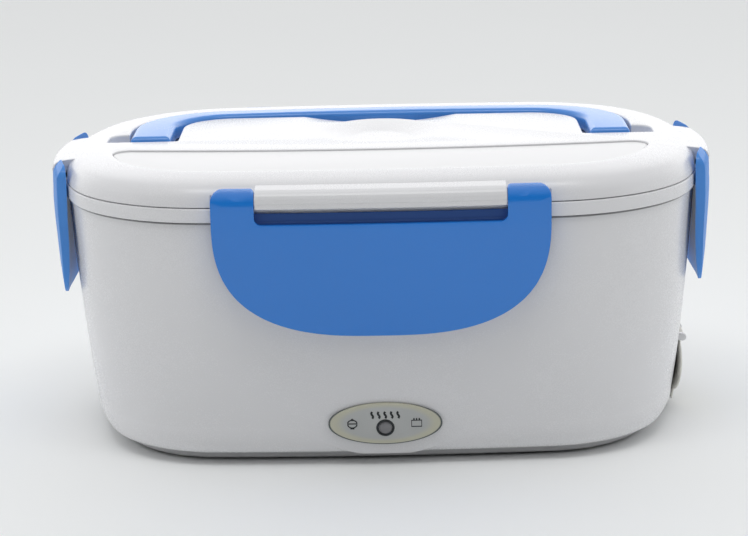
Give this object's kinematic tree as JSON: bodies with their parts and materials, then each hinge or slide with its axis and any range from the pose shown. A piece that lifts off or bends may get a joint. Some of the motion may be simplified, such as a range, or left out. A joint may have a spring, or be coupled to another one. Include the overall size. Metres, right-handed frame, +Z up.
{
  "type": "electric lunch box",
  "caption": "Rounded white heated lunch box with a lift-off lid held by four swing clips, a folding carry handle, a cutlery compartment and a lift-out food container.",
  "frame": {"origin": "middle of the bounding box's footprint, on the plane the feet stand on", "axes": "+X along the long side, towards the power inlet; +Y from the badge side towards the rear; +Z up"},
  "size_m": [0.2342, 0.1662, 0.1027],
  "materials": {
    "shell_white": "satin moulded polypropylene",
    "lid_white": "satin moulded polypropylene",
    "cover_white": "satin, slightly greyer than the lid",
    "panel_white": "matte",
    "clip_blue": "satin",
    "handle_blue": "satin",
    "container_white": "food-grade polypropylene, satin",
    "tray_blue": "food-grade polypropylene, satin",
    "tray_lid_clear": "frosted",
    "screw_steel": "zinc plated",
    "clamp_steel": "zinc plated",
    "foot_rubber": "matte",
    "seal_grey": "silicone, matte",
    "seal_red": "silicone, matte",
    "flap_silicone": "silicone, matte",
    "plate_aluminium": "pressed",
    "heater_metal": "dull",
    "mica": "flaky, dull",
    "thermostat_black": "moulded",
    "sleeve_cream": "glass-fibre sleeve",
    "wire_brown": "PVC",
    "wire_blue": "PVC",
    "wire_red": "PVC",
    "badge_silver": "satin silver",
    "lens_grey": "smoked",
    "board_green": "circuit board",
    "inlet_black": "moulded",
    "pin_brass": "plated"
  },
  "bodies": {
    "heated_base": {"outer_shell": "shell_white", "liner_tub": "shell_white", "bottom_cover": "shell_white", "bottom_screws": "screw_steel", "rubber_feet": "foot_rubber", "heating_plate": "plate_aluminium", "plate_seal": "seal_red", "heater_element": "heater_metal", "mica_sheet": "mica", "heater_clamp": "clamp_steel", "clamp_screws": "screw_steel", "thermostat": "thermostat_black", "thermal_fuse": "sleeve_cream", "live_wire": "wire_brown", "neutral_wire": "wire_blue", "link_wire": "sleeve_cream", "fuse_wire": "sleeve_cream", "lamp_wires": "wire_red", "badge_plate": "badge_silver", "indicator_lens": "lens_grey", "lamp_board": "board_green", "power_inlet": "inlet_black", "inlet_pins": "pin_brass"},
    "inlet_cover": {"inlet_cover": "flap_silicone"},
    "lid": {"lid_cover": "lid_white", "lid_inner_panel": "panel_white", "lid_seal": "seal_grey"},
    "cutlery_cover": {"cutlery_cover": "cover_white"},
    "handle": {"handle": "handle_blue"},
    "clip_front": {"clip_front": "clip_blue"},
    "clip_rear": {"clip_rear": "clip_blue"},
    "clip_left": {"clip_left": "clip_blue"},
    "clip_right": {"clip_right": "clip_blue"},
    "food_container": {"food_container": "container_white"},
    "side_dish_tray": {"side_dish_tray": "tray_blue"},
    "tray_lid": {"tray_lid": "tray_lid_clear", "tray_seal": "seal_grey"}
  },
  "joints": [
    {"name": "lid_lift", "type": "slide", "parent": "heated_base", "child": "lid", "axis": [0, 0, 1], "range_m": [0, 0.16]},
    {"name": "container_lift", "type": "slide", "parent": "heated_base", "child": "food_container", "axis": [0, 0, 1], "range_m": [0, 0.06]},
    {"name": "tray_lift", "type": "slide", "parent": "food_container", "child": "side_dish_tray", "axis": [0, 0, 1], "range_m": [0, 0.04]},
    {"name": "tray_lid_lift", "type": "slide", "parent": "side_dish_tray", "child": "tray_lid", "axis": [0, 0, 1], "range_m": [0, 0.02]},
    {"name": "clip_front_hinge", "type": "hinge", "parent": "lid", "child": "clip_front", "pos_m": [0, -0.07991, 0.0955], "axis": [-1, 0, 0], "range_deg": [0, 110]},
    {"name": "clip_rear_hinge", "type": "hinge", "parent": "lid", "child": "clip_rear", "pos_m": [0, 0.07991, 0.0955], "axis": [1, 0, 0], "range_deg": [0, 110]},
    {"name": "clip_left_hinge", "type": "hinge", "parent": "lid", "child": "clip_left", "pos_m": [-0.11329, 0, 0.0955], "axis": [0, 1, 0], "range_deg": [0, 110]},
    {"name": "clip_right_hinge", "type": "hinge", "parent": "lid", "child": "clip_right", "pos_m": [0.11329, 0, 0.0955], "axis": [0, -1, 0], "range_deg": [0, 110]},
    {"name": "handle_hinge", "type": "hinge", "parent": "lid", "child": "handle", "pos_m": [0, 0.0008, 0.0986], "axis": [1, 0, 0], "range_deg": [0, 90]},
    {"name": "cutlery_cover_lift", "type": "slide", "parent": "lid", "child": "cutlery_cover", "axis": [0, 0, 1], "range_m": [0, 0.04]},
    {"name": "inlet_cover_hinge", "type": "hinge", "parent": "heated_base", "child": "inlet_cover", "pos_m": [0.10803, 0, 0.02655], "axis": [0, -1, 0], "range_deg": [0, 105]}
  ],
  "couplings": [
    {"joint": "container_lift", "follows": "lid_lift", "ratio": 0.375},
    {"joint": "tray_lift", "follows": "lid_lift", "ratio": 0.25},
    {"joint": "tray_lid_lift", "follows": "lid_lift", "ratio": 0.125}
  ]
}
